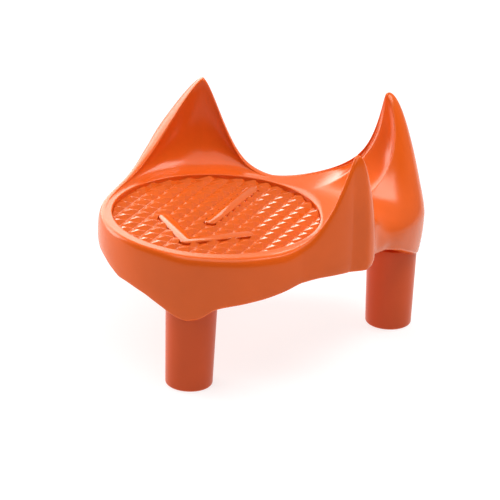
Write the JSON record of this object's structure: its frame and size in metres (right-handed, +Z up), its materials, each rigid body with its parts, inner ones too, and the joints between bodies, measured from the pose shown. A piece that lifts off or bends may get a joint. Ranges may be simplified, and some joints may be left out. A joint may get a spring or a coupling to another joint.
{
  "type": "kicking tee",
  "caption": "Raised kicking tee for a ball: a round studded pad in a moulded seat with pointed horns, standing on round peg legs.",
  "frame": {"origin": "on the ground, under the middle of the tee's outline seen from above", "axes": "+Z up, +Y from the pad centre towards the rear horn, +X to the right seen from the front"},
  "size_m": [0.1128, 0.1254, 0.0834],
  "materials": {
    "shell": "glossy orange moulding",
    "pad": "glossy orange moulding, studded",
    "leg": "glossy orange moulding"
  },
  "bodies": {
    "root": {"tee_body": "shell", "grip_pad": "pad", "front_leg_peg": "leg", "right_leg_peg": "leg", "left_leg_peg": "leg"}
  },
  "joints": []
}
